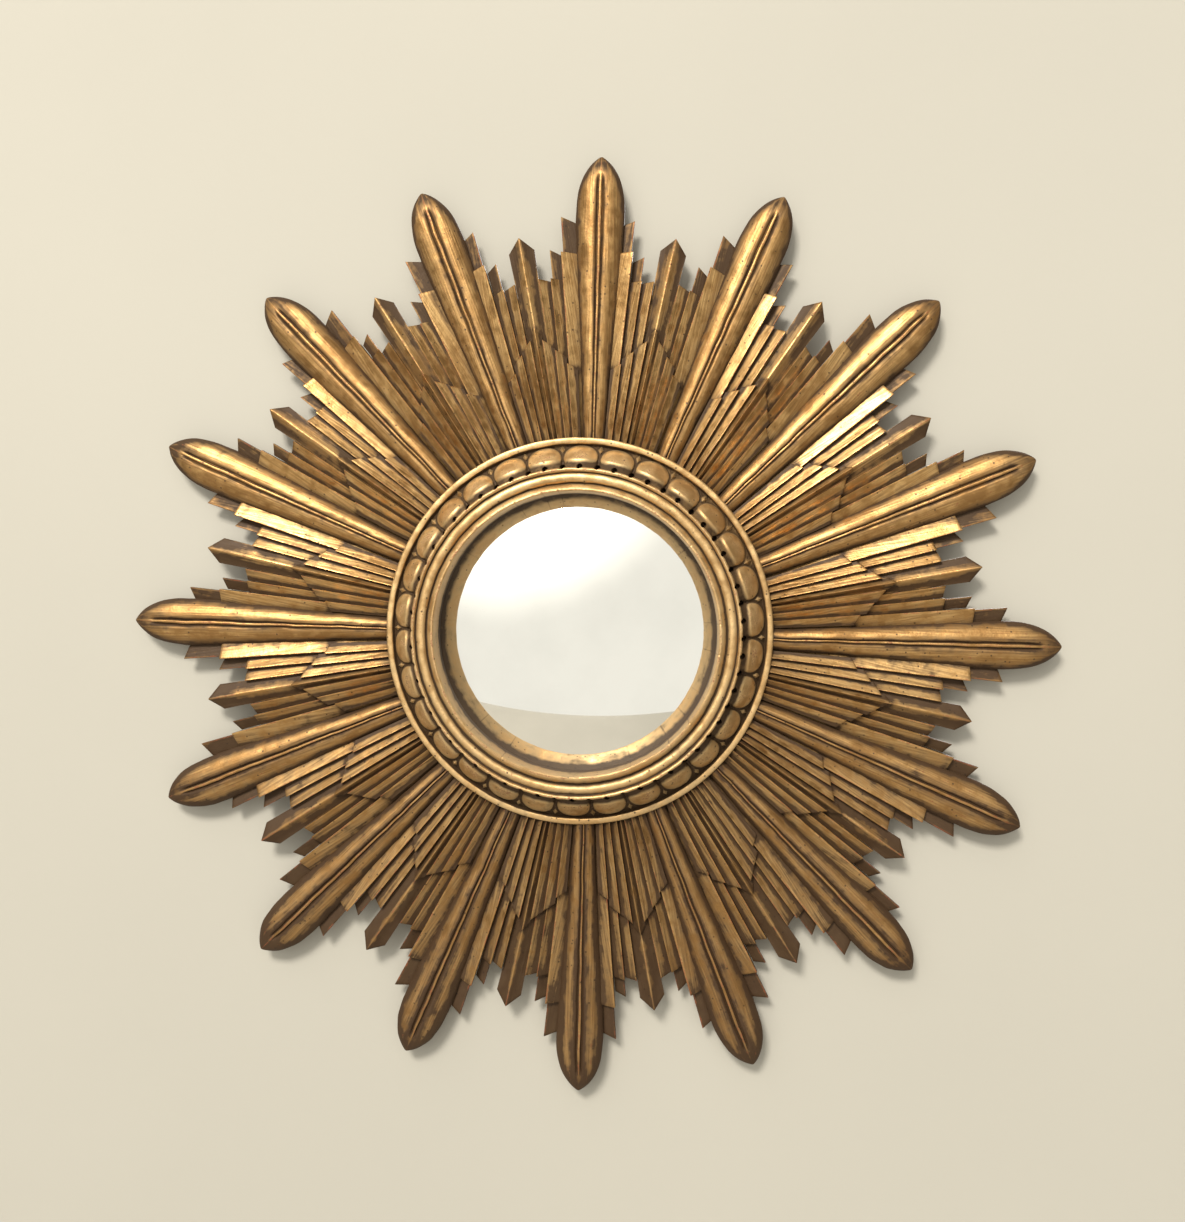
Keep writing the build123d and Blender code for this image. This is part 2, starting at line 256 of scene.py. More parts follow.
class Carving:
    """Closed shells that become one mesh. Each point has a patina, with painted shade and painted highlights
    in it: (hollow, rubbed_and_sheen, grime_and_shade), from 0 to 1.
    """

    def __init__(self):
        self.points = []
        self.patina_and_painted_light = []
        self.faces = []
        self.count = 0

    def add(self, points, patina_and_painted_light, faces):
        self.points.append(points.reshape(-1, 3))
        self.patina_and_painted_light.append(clamp(patina_and_painted_light.reshape(-1, 3)))
        for face in faces:
            self.faces.append(tuple(int(corner) + self.count for corner in face))
        self.count += len(self.points[-1])

    def block(self, top, patina_and_painted_light, bottom):
        """A solid under a grid of top points (rows along the ray), with walls down to its bottom height."""
        rows, columns = top.shape[:2]
        under = top[:, ::-1].copy()
        under[:, :, 2] = bottom
        right = self.wall(top[:, -1], under[:, 0], patina_and_painted_light[:, -1], SIDE_WALL_SHARES)
        below = (under, np.broadcast_to(UNDERSIDE_PATINA, under.shape))
        left = self.wall(top[:, 0], under[:, -1], patina_and_painted_light[:, 0], SIDE_WALL_SHARES[::-1])
        loops, tones = (np.concatenate(parts, axis=1) for parts in zip((top, patina_and_painted_light), right, below, left))
        size = loops.shape[1]
        i, j = np.meshgrid(np.arange(rows - 1), np.arange(size), indexing="ij")
        k = (j + 1) % size
        quads = np.stack((i * size + j, i * size + k, (i + 1) * size + k, (i + 1) * size + j), -1)
        faces = [tuple(quad) for quad in quads.reshape(-1, 4)]
        for row in (0, rows - 1):
            faces += self.cap(row * size, columns, size)
        self.add(loops, tones, faces)

    @staticmethod
    def wall(edge, foot, tone, shares):
        """Points at these shares of the way down a side wall, and their patina, which is painted darker
        downwards as shade.
        """
        share = np.array(shares)[:, None]
        points = edge[:, None] + (foot - edge)[:, None] * share
        # Painted shade, deeper towards the foot of the wall
        wall_shade = np.hstack((0.3 + 0.5 * share, 0 * share, 0 * share + 0.35))
        return points, tone[:, None] * 0.4 + wall_shade

    @staticmethod
    def cap(start, columns, size):
        """The end wall of a block: strips between its top edge and its bottom edge."""
        walls = (size - 2 * columns) // 2
        faces = []
        for column in range(columns - 1):
            below = 2 * columns + walls - 1 - column
            face = [column, column + 1, below - 1, below]
            if column == 0:
                face += range(size - walls, size)
            if column == columns - 2:
                face[2:2] = range(columns, columns + walls)
            faces.append([start + corner for corner in face])
        return faces

    def strip(self, rng, fan, angles, ends, heights, hollow, rubbed_and_sheen, grime_and_shade, bottom, uneven=SLAT_UNEVEN):
        """A slat on a fan, given by columns across it: their angles from the fan's axis, the radii where they
        end, and their heights. hollow and grimy are functions of the radius."""
        share = np.concatenate((np.linspace(0, LAST_PLAIN_ROW, SLAT_ROWS), END_ROWS))[:, None]
        bevel = np.concatenate((np.zeros(SLAT_ROWS), END_BEVEL))[:, None]
        start = ring_reach(fan + angles)
        radius = start + (ends - start) * share
        turn = np.radians(angles)
        across = radius * np.sin(turn)
        along = radius * np.cos(turn)
        height = heights - bevel + uneven * ripple(rng, across, along)
        near_end = np.exp(-(ends - radius) / END_RUBBED_REACH)
        # Painted shade darkens the slat where it meets the ring
        near_root = np.exp(-(radius - start) / ROOT_SHADE_REACH)
        tone = np.stack((
            hollow(radius) + SLAT_ROOT_SHADE * near_root,
            np.maximum(rubbed_and_sheen + 0 * radius, 0.6 * near_end),
            grime_and_shade(radius),
        ), -1)
        self.block(np.stack((across, along, height), -1), tone, bottom)

    def revolve(self, points, patina_and_painted_light):
        """A ring from a grid of points: around the ring, then along its closed profile."""
        around, profile = points.shape[:2]
        i, j = np.meshgrid(np.arange(around), np.arange(profile), indexing="ij")
        k = (i + 1) % around
        m = (j + 1) % profile
        quads = np.stack((i * profile + j, k * profile + j, k * profile + m, i * profile + m), -1)
        self.add(points, patina_and_painted_light, quads.reshape(-1, 4).tolist())

    def piece(self, name, angle, look, node, seed, merge=False):
        """The finished object, riding on the frame in place of a CAD node. Each seed has its own grain."""
        points = np.concatenate(self.points)
        patina_and_painted_light = np.concatenate(self.patina_and_painted_light)
        mesh = bpy.data.meshes.new(name)
        mesh.from_pydata(stand_up(points, angle).tolist(), [], self.faces)
        grain = points.copy()
        grain[:, 2] = seed * GRAIN_STEP
        for layer, values in (("patina_and_painted_light", patina_and_painted_light), ("grain", grain)):
            made = mesh.attributes.new(layer, "FLOAT_VECTOR", "POINT")
            made.data.foreach_set("vector", values.astype(np.float32).ravel())
        work = bmesh.new()
        work.from_mesh(mesh)
        if merge:
            bmesh.ops.remove_doubles(work, verts=work.verts, dist=MERGE_DISTANCE)
        bmesh.ops.recalc_face_normals(work, faces=work.faces)
        work.to_mesh(mesh)
        work.free()
        mesh.shade_smooth()
        mesh.set_sharp_from_angle(angle=radians(SHARP_ANGLE))
        mesh.materials.append(look)
        made = bpy.data.objects.new(name, mesh)
        bpy.context.scene.collection.objects.link(made)
        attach(made, "root")
        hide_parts(node)


# Materials


class Recipe:
    """A short way to write down a material's nodes."""

    def __init__(self, name):
        self.material = bpy.data.materials.new(name)
        self.material.use_nodes = True
        self.tree = self.material.node_tree
        self.shader = self.tree.nodes["Principled BSDF"]
        self.place = self.add("ShaderNodeTexCoord").outputs["Object"]

    def add(self, kind, **settings):
        node = self.tree.nodes.new(kind)
        for name, value in settings.items():
            setattr(node, name, value)
        return node

    def put(self, value, socket):
        if isinstance(value, bpy.types.NodeSocket):
            self.tree.links.new(value, socket)
        elif isinstance(value, tuple) and socket.type == "RGBA":
            socket.default_value = (*value, 1)
        else:
            socket.default_value = value

    def math(self, operation, first, second):
        node = self.add("ShaderNodeMath", operation=operation)
        self.put(first, node.inputs[0])
        self.put(second, node.inputs[1])
        return node.outputs[0]

    def times(self, first, second):
        return self.math("MULTIPLY", first, second)

    def plus(self, first, second):
        return self.math("ADD", first, second)

    def stretch(self, vector, scale):
        node = self.add("ShaderNodeVectorMath", operation="MULTIPLY")
        self.put(vector, node.inputs[0])
        node.inputs[1].default_value = scale
        return node.outputs[0]

    def noise(self, scale, detail, vector=None, distortion=0.0):
        node = self.add("ShaderNodeTexNoise")
        self.put(vector or self.place, node.inputs["Vector"])
        node.inputs["Scale"].default_value = scale
        node.inputs["Detail"].default_value = detail
        node.inputs["Distortion"].default_value = distortion
        return node.outputs["Fac"]

    def ramp(self, value, low, high, to_low=0.0, to_high=1.0):
        """Stretch the values between low and high over another range, and clamp them there."""
        node = self.add("ShaderNodeMapRange")
        self.put(value, node.inputs["Value"])
        for name, number in (("From Min", low), ("From Max", high), ("To Min", to_low), ("To Max", to_high)):
            node.inputs[name].default_value = number
        return node.outputs["Result"]

    def mix(self, factor, first, second):
        node = self.add("ShaderNodeMix", data_type="RGBA")
        self.put(factor, node.inputs[0])
        self.put(first, node.inputs[6])
        self.put(second, node.inputs[7])
        return node.outputs[2]

    def specks(self, scale, size, share):
        """Scattered dots: 1 inside a dot. share is the part of the cells that hold one."""
        node = self.add("ShaderNodeTexVoronoi")
        self.put(self.place, node.inputs["Vector"])
        node.inputs["Scale"].default_value = scale
        chosen = self.add("ShaderNodeSeparateColor")
        self.put(node.outputs["Color"], chosen.inputs[0])
        dot = self.ramp(node.outputs["Distance"], size, size * 0.6)
        return self.times(dot, self.ramp(chosen.outputs[0], share + 0.01, share))

    def attribute(self, name):
        return self.add("ShaderNodeAttribute", attribute_name=name).outputs["Vector"]

    def split(self, vector):
        node = self.add("ShaderNodeSeparateXYZ")
        self.put(vector, node.inputs[0])
        return node.outputs[0], node.outputs[1], node.outputs[2]

    def bump(self, height, strength, distance):
        node = self.add("ShaderNodeBump")
        node.inputs["Strength"].default_value = strength
        node.inputs["Distance"].default_value = distance
        self.put(height, node.inputs["Height"])
        self.put(node.outputs[0], self.shader.inputs["Normal"])

    def finish(self, **inputs):
        for name, value in inputs.items():
            self.put(value, self.shader.inputs[name.replace("_", " ").title().replace("Ior", "IOR")])
        return self.material


BROWN_GLAZE = (0.04, 0.02, 0.009)
RED_BOLE = (0.23, 0.07, 0.03)
DARK_SPECK = (0.03, 0.016, 0.008)
# Painted light and shade: the gold is painted lighter at the top of the star and darker at its foot, as if
# lit from above: heights in metres and what they add
PAINTED_LIGHT_TOP, PAINTED_SHADE_FOOT = (0.1, -0.04), (-0.24, 0.6)


def gilding(name, bright, deep, metal, rough, glaze_gain, streaks):
    """Antique gold leaf: rubbed on the crests, where the paler gold is also a painted highlight, glazed brown
    in the hollows, with bole at worn spots, and painted darker towards the star's foot as shade. The patina
    attribute, which also carries painted shade and highlights, says where, and the grain attribute runs along
    each ray."""
    r = Recipe(name)
    hollow, rubbed_and_sheen, grime_and_shade = r.split(r.attribute("patina_and_painted_light"))
    grain = r.stretch(r.attribute("grain"), (0.95, 0.035, 1.0))
    streak = r.noise(scale=1.0, detail=3.0, vector=grain)
    cloud = r.noise(scale=30.0, detail=3.0)
    mottle = r.noise(scale=150.0, detail=6.0)
    fine = r.noise(scale=800.0, detail=4.0)
    gold = r.mix(r.ramp(r.plus(cloud, mottle), 0.82, 1.18), deep, bright)
    gold = r.mix(r.ramp(streak, 0.42, 0.68, 0.0, streaks), gold, deep)
    glaze_and_shade = r.plus(r.times(hollow, glaze_gain), r.times(grime_and_shade, 0.85))
    level = r.split(r.place)[2]
    # Painted shade: the glaze thickens towards the foot of the star and thins at its top, as painted light
    glaze_and_shade = r.plus(glaze_and_shade, r.ramp(level, PAINTED_LIGHT_TOP[0], PAINTED_SHADE_FOOT[0], PAINTED_LIGHT_TOP[1], PAINTED_SHADE_FOOT[1]))
    glaze_and_shade = r.plus(glaze_and_shade, r.times(r.plus(mottle, -0.5), 1.4))
    glaze_and_shade = r.plus(glaze_and_shade, r.times(r.plus(cloud, -0.5), 1.2))
    glaze_and_shade = r.plus(glaze_and_shade, r.times(r.plus(streak, -0.5), streaks))
    glaze_and_shade = r.ramp(r.plus(glaze_and_shade, r.times(rubbed_and_sheen, -0.45)), 0.02, 0.95, 0.0, 0.96)
    wear = r.ramp(r.plus(r.times(rubbed_and_sheen, 0.34), r.times(fine, 0.5)), 0.47, 0.56)
    wear = r.times(wear, r.ramp(mottle, 0.45, 0.6))
    worn = r.times(wear, 0.75)
    specks = r.times(r.specks(scale=330.0, size=0.26, share=0.16), 0.8)
    colour = r.mix(glaze_and_shade, gold, BROWN_GLAZE)
    colour = r.mix(worn, colour, RED_BOLE)
    colour = r.mix(specks, colour, DARK_SPECK)
    dull = r.math("MAXIMUM", r.math("MAXIMUM", r.times(glaze_and_shade, 0.85), worn), specks)
    metallic = r.times(r.math("SUBTRACT", 1.0, dull), metal)
    roughness = r.plus(r.plus(r.times(mottle, 0.22), r.times(glaze_and_shade, 0.2)), rough - 0.11)
    relief = r.plus(r.times(fine, 0.35), r.plus(r.times(mottle, 0.8), r.times(streak, streaks)))
    r.bump(relief, strength=0.55, distance=0.0005)
    return r.finish(base_color=colour, metallic=metallic, roughness=roughness, specular_ior_level=0.3)


def mirror_silver():
    """Old silvering: bright, a little hazy, with a few dark pinholes."""
    r = Recipe("mirror_silver")
    haze = r.noise(scale=24.0, detail=4.0)
    colour = r.mix(r.ramp(haze, 0.4, 0.7), (0.93, 0.93, 0.9), (0.88, 0.88, 0.85))
    pinholes = r.times(r.specks(scale=70.0, size=0.05, share=0.1), 0.8)
    colour = r.mix(pinholes, colour, (0.12, 0.1, 0.08))
    return r.finish(base_color=colour, metallic=1.0, roughness=r.ramp(haze, 0.3, 0.8, 0.012, 0.03))


def wood(name, light, dark, scale, rough):
    """Plain wood with its grain along X."""
    r = Recipe(name)
    grain = r.noise(scale, detail=6.0, vector=r.stretch(r.place, (0.06, 1.0, 1.0)), distortion=0.4)
    pores = r.noise(scale * 7, detail=3.0, vector=r.stretch(r.place, (0.05, 1.0, 1.0)))
    cloud = r.noise(scale=12.0, detail=3.0)
    colour = r.mix(r.ramp(grain, 0.35, 0.65), light, dark)
    colour = r.mix(r.ramp(pores, 0.56, 0.7, 0.0, 0.6), colour, dark)
    colour = r.mix(r.ramp(cloud, 0.4, 0.75, 0.0, 0.4), colour, dark)
    r.bump(r.plus(grain, pores), strength=0.4, distance=0.0004)
    return r.finish(base_color=colour, metallic=0.0, roughness=r.ramp(pores, 0.3, 0.7, rough, rough + 0.15))


def pressed_board():
    """Hardboard, with its short fibres showing."""
    r = Recipe("pressed_board")
    fibres = r.noise(scale=420.0, detail=6.0, distortion=1.2)
    cloud = r.noise(scale=18.0, detail=4.0)
    colour = r.mix(r.ramp(fibres, 0.38, 0.64), (0.2, 0.115, 0.055), (0.33, 0.21, 0.11))
    colour = r.mix(r.ramp(cloud, 0.45, 0.75, 0.0, 0.5), colour, (0.14, 0.08, 0.04))
    r.bump(fibres, strength=0.35, distance=0.0003)
    return r.finish(base_color=colour, metallic=0.0, roughness=r.ramp(fibres, 0.3, 0.7, 0.55, 0.75))


def metal(name, clean, tarnish, rough):
    """Brushed metal, tarnished and duller in patches."""
    r = Recipe(name)
    brushed = r.noise(scale=600.0, detail=3.0, vector=r.stretch(r.place, (0.05, 1.0, 1.0)))
    patches = r.noise(scale=130.0, detail=5.0)
    colour = r.mix(r.ramp(patches, 0.45, 0.66), clean, tarnish)
    r.bump(brushed, strength=0.2, distance=0.0001)
    roughness = r.plus(r.ramp(patches, 0.4, 0.7, rough, rough + 0.25), r.times(brushed, 0.1))
    return r.finish(base_color=colour, metallic=r.ramp(patches, 0.5, 0.8, 1.0, 0.75), roughness=roughness)


LANCE_GOLD = gilding(
    "lance_gold", bright=(0.56, 0.345, 0.14), deep=(0.30, 0.165, 0.06), metal=0.9, rough=0.44,
    glaze_gain=1.0, streaks=0.8)
FAN_GOLD = gilding(
    "fan_gold", bright=(0.74, 0.475, 0.20), deep=(0.38, 0.215, 0.08), metal=0.9, rough=0.37,
    glaze_gain=1.1, streaks=0.75)
RING_GOLD = gilding(
    "ring_gold", bright=(0.74, 0.52, 0.26), deep=(0.48, 0.30, 0.13), metal=0.78, rough=0.44,
    glaze_gain=1.1, streaks=0.0)


# Rays


def far_corner(node):
    """Angle clockwise from the top and distance from the star's centre of a CAD node's tip."""
    best = max(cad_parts[node].data.vertices, key=lambda v: v.co.x**2 + v.co.z**2).co
    return np.degrees(np.arctan2(best.x, best.z)), np.hypot(best.x, best.z) / MM


def both_sides(columns):
    half = np.array(columns)
    return np.concatenate((-half[:0:-1], half))


def lance_half_width(along):
    """A lance widens evenly, and a little more where it turns into a leaf."""
    return along * tan(radians(LANCE_HALF_ANGLE)) + LEAF_SWELL * smoothstep(*LEAF_SWELL_SPAN, along)


def make_lance(number):
    """A long ray: a bead rib between two grooved lobes, ending in a leaf-shaped tip."""
    node = f"lance_{number:02d}"
    rng = np.random.default_rng(100 + number)
    angle, length = far_corner(node)
    shoulder = length - TIP_LENGTH
    root = float(ring_reach(angle))
    body = np.linspace(root, shoulder, BODY_ROWS, endpoint=False)
    tip = length - TIP_LENGTH * np.linspace(1, TIP_ROUNDING, TIP_ROWS) ** TIP_ROW_POWER
    along = np.concatenate((body, tip))[:, None]
    to_tip = length - along
    u = both_sides(LANCE_COLUMNS)[None, :]
    side = np.abs(u)

    full = lance_half_width(shoulder)
    leaf = (1 - (1 - clamp(to_tip / TIP_LENGTH)) ** TIP_POWER) ** TIP_ROUNDNESS
    half = np.where(to_tip > TIP_LENGTH, lance_half_width(along), full * leaf)
    across = u * half + LANCE_SWAY * ripple(rng, 0, along)

    # The carving is shallower where the lance is narrow
    carved = np.where(to_tip > TIP_LENGTH, 0.4 + 0.6 * half / full, half / full)
    grooved = smoothstep(*RIB_END, to_tip)
    depth = curve(LANCE_DEPTH, side) * grooved + curve(TIP_DEPTH, side) * (1 - grooved)
    lift = LANCE_ROOT_LIFT * (length - along) / (length - root)
    fall = TIP_FALL * (1 - clamp(to_tip / TIP_FALL_LENGTH)) ** TIP_FALL_POWER
    height = LANCE_CREST + lift - fall - depth * carved + LANCE_UNEVEN * ripple(rng, across, along)

    # Painted shade where the lance meets the ring
    root_shade = LANCE_ROOT_SHADE * np.exp(-(along - root) / ROOT_SHADE_REACH)
    hollow = curve(RIB_DIRT, side) * grooved + curve(EDGE_DARKENING, side) + root_shade
    # Darker towards the tip and along the edges
    end = clamp(1 - to_tip / TIP_GRIME_LENGTH)
    grime_and_shade = 1.5 * end**2.2 + 0.8 * end * side**2 + 0.3 * side**4

    top = np.stack(np.broadcast_arrays(across, along, height), -1)
    patina_and_painted_light = np.stack(np.broadcast_arrays(hollow, curve(LANCE_RUBBED, side), grime_and_shade), -1)
    bottom = BOARD_TOP + TIP_UNDERCUT * clamp(1 - to_tip / TIP_UNDERCUT_LENGTH)
    carving = Carving()
    carving.block(top, patina_and_painted_light, bottom)
    carving.piece(f"carved_{node}", angle, LANCE_GOLD, node, number)


def side_slat(carving, rng, fan, near, far, ends, valley, crest, power, bottom, dirt_and_shade, grime, shade=0.9):
    """A slat whose crest is on its near side, with a hollow face falling to its far side."""
    t = np.array(SLAT_COLUMNS)
    turn = 1 if far > near else -1
    angles = near + turn * CRACK + (far - near - 2 * turn * CRACK) * t
    end = ends[0] + (ends[1] - ends[0]) * t + rng.uniform(-END_CHANGE, END_CHANGE)
    top = crest + rng.uniform(-CREST_CHANGE, CREST_CHANGE)
    height = valley + (top - valley) * (1 - t) ** power - 0.5 * np.exp(-t / 0.02)
    # Rubbed along the crest: real wear, and also painted pale as a highlight line
    rubbed_and_sheen = 0.9 * np.exp(-((t - 0.04) / 0.07) ** 2) + 0.15
    # Painted shade: the face darkens towards the valley on its far side
    own = shade * smoothstep(0.5, 0.82, t)
    angles, end, height, rubbed_and_sheen, own = (column[::turn] for column in (angles, end, height, rubbed_and_sheen, own))
    carving.strip(
        rng, fan, angles, end, height, lambda radius: own + dirt_and_shade(angles, radius), rubbed_and_sheen,
        lambda radius: grime(radius, end), bottom)


def middle_slat(carving, rng, fan, half, ends, valley, crest, bottom, dirt_and_shade, grime):
    """A slat with its crest along its middle, ending in a point."""
    u = both_sides(MIDDLE_COLUMNS)
    side = np.abs(u)
    angles = u * (half - CRACK)
    end = ends[0] + (ends[1] - ends[0]) * side
    height = valley + (crest - valley) * (1 - side) ** MIDDLE_POWER - 0.25 * np.exp(-side / 0.03)
    # Rubbed along the crest and outer edges: real wear, and also painted pale as highlight lines
    rubbed_and_sheen = 0.9 * np.exp(-(side / 0.09) ** 2) + 0.5 * np.exp(-((1 - side) / 0.05) ** 2)
    # Painted shade: darker towards the valleys along the slat's sides
    own = 0.75 * curve(MIDDLE_VALLEY_SHADE, side)
    carving.strip(
        rng, fan, angles, end, height, lambda radius: own + dirt_and_shade(angles, radius), rubbed_and_sheen,
        lambda radius: grime(radius, end), bottom)


def inner_edge(angles):
    """The radius where the inner fan ends, for angles from the fan's axis."""
    width = FAN_HALF_ANGLE / (2 * len(INNER_ENDS) + 1)
    away = np.abs(angles)
    edge = INNER_END[0] + (INNER_END[1] - INNER_END[0]) * clamp(away / width)
    for index, (near, far) in enumerate(INNER_ENDS):
        share = (away - (2 * index + 1) * width) / (2 * width)
        edge = np.where(share > 0, near + (far - near) * clamp(share), edge)
    return edge


def even_dirt_and_shade(amount):
    """The same dirt or grime all over a slat; on the fingers it is also painted shade."""
    return lambda first, second: np.full(np.broadcast_shapes(first.shape, second.shape), amount)


def foot_shadow(angles, radius):
    """Painted shadow in the corner at the foot of the inner fan's ends, where their step shades the outer
    slats.
    """
    return 0.9 * np.exp(-np.abs(radius - inner_edge(angles)) / 1.8)


def end_grime(strength, reach):
    """Grime that thickens towards a slat's end."""
    return lambda radius, end: strength * np.exp(-(end - radius) / reach) + 0.1


def make_slab(carving, rng, fan):
    """The floor of a fan, which closes the cracks between its slats down to the board, painted dark as the
    shade in those cracks.
    """
    angles = np.linspace(-FAN_REACH, FAN_REACH, SLAB_COLUMNS)
    end = np.full(SLAB_COLUMNS, BOARD_RADIUS - 1)
    height = np.full(SLAB_COLUMNS, REAR_TOP - 0.2)
    # Painted shade: the floor is dark all over
    carving.strip(
        rng, fan, angles, end, height, lambda radius: 0.9 + 0 * radius, np.zeros(SLAB_COLUMNS),
        lambda radius: 0.9 + 0 * radius, BOARD_TOP, SLAB_UNEVEN)


def make_outer_fan(number):
    """The slats between two lances, with the pencil ray in their middle and darker fingers under them."""
    node = f"outer_fan_{number:02d}"
    rng = np.random.default_rng(200 + number)
    fan = (number - 0.5) * RAY_PITCH
    carving = Carving()
    width = (FAN_HALF_ANGLE - PENCIL_HALF_ANGLE) / len(OUTER_ENDS)
    crest = OUTER_CREST + CREST_LIFT
    bottom = REAR_TOP - LAYER_OVERLAP
    pencil = tuple(end + PENCIL_CHANGE[number - 1] for end in PENCIL_END)
    # The outer slats get a painted shadow at the foot of the inner fan's ends
    middle_slat(
        carving, rng, fan, PENCIL_HALF_ANGLE, pencil, OUTER_VALLEY, crest, bottom, foot_shadow,
        end_grime(0.9, 16))
    for index, ends in enumerate(OUTER_ENDS):
        near = PENCIL_HALF_ANGLE + index * width
        # The slat beside a lance is wider and a little lower than the others, and painted brighter as a
        # highlight, with less painted shade and less darkening at its end
        last = index == len(OUTER_ENDS) - 1
        far = FAN_REACH if last else near + width
        power = 1.0 if last else SLAT_POWER
        for side in (-1, 1):
            side_slat(
                carving, rng, fan, side * near, side * far, ends, OUTER_VALLEY - 0.3 * last, crest, power,
                bottom, foot_shadow, end_grime(0.5 - 0.2 * last, 8), 0.9 - 0.5 * last)
    # The fingers lie under the upper slats and are painted dark all over: dark glaze, and painted shade of
    # the slats above
    for (near, far), ends in (SHORT_FINGER, LONG_FINGER):
        change = 0
        for side in (-1, 1):
            change += rng.uniform(-FINGER_CHANGE, FINGER_CHANGE)
            side_slat(
                carving, rng, fan, side * near, side * far, [end + change for end in ends], REAR_TOP - 1.6,
                REAR_TOP + 0.3, FINGER_POWER, BOARD_TOP, even_dirt_and_shade(0.2), even_dirt_and_shade(0.95))
    make_slab(carving, rng, fan)
    carving.piece(f"carved_{node}", fan, FAN_GOLD, node, 20 + number)


def make_inner_fan(number):
    """The shorter slats that lie over an outer fan, ending in a stepped chevron."""
    node = f"inner_fan_{number:02d}"
    rng = np.random.default_rng(300 + number)
    fan = (number - 0.5) * RAY_PITCH
    carving = Carving()
    half = FAN_HALF_ANGLE / (2 * len(INNER_ENDS) + 1)
    bottom = OUTER_VALLEY - 0.2
    crest = INNER_CREST + CREST_LIFT
    clean, grime = even_dirt_and_shade(0.0), end_grime(0.4, 5)
    middle_slat(carving, rng, fan, half, INNER_END, INNER_VALLEY, crest, bottom, clean, grime)
    for index, ends in enumerate(INNER_ENDS):
        near = (2 * index + 1) * half
        for side in (-1, 1):
            side_slat(
                carving, rng, fan, side * near, side * (near + 2 * half), ends, INNER_VALLEY, crest,
                SLAT_POWER, bottom, clean, grime)
    carving.piece(f"carved_{node}", fan, FAN_GOLD, node, 40 + number)


# Ring


def ring_points(theta, radius, height):
    x = RING_CENTRE[0] + radius * np.sin(theta)
    z = RING_CENTRE[1] + radius * np.cos(theta)
    return np.stack(np.broadcast_arrays(x, z, height), -1)


def from_nearest(theta, count):
    """Signed angle from the nearest of count evenly spaced directions, and that direction's number."""
    pitch = 2 * pi / count
    number = np.rint(theta / pitch)
    return theta - number * pitch, (number % count).astype(int)


def notch(theta):
    """How far a drilled notch opens either way along a radius, in millimetres."""
    away = from_nearest(theta, NOTCH_COUNT)[0] * NOTCH_CIRCLE
    return np.sqrt(np.maximum(0, NOTCH_RADIUS**2 - away**2))


EGG_RING_WALL = (
    # radius, height, hollow, rubbed_and_sheen
    (RING_RADIUS, BOARD_TOP, 1, 0), (RING_RADIUS, 15, 0.9, 0), (RING_RADIUS, 21, 0.6, 0),
    (RING_RADIUS - 0.1, 22, 0.3, 0.5), (RING_RADIUS - 0.5, 22.5, 0.1, 0.5),
)
EGG_RING_FILLET = (
    (126.3, 22.75, 0, 0.5), (125.4, 22.8, 0, 0.5), (124.5, 22.75, 0, 0.5), (123.8, 22.6, 0.1, 0.5),
    (123.4, 22.2, 0.6, 0), (123.1, 21.4, 1, 0),
)
EGG_RING_BACK = ((106.9, 29, 0.9, 0), (106.9, BOARD_TOP, 0.9, 0), (96, BOARD_TOP, 0.9, 0))


def turned(profile, theta, wave=0):
    """Radii, heights and patina of part of a ring that is the same all round, but for a small wave."""
    radius, height, hollow, rubbed_and_sheen = np.array(profile, float).T
    ones = np.ones_like(theta)
    tone = np.stack((ones * hollow, ones * rubbed_and_sheen, 0 * ones * rubbed_and_sheen), -1)
    return ones * radius + wave, ones * height + wave, tone


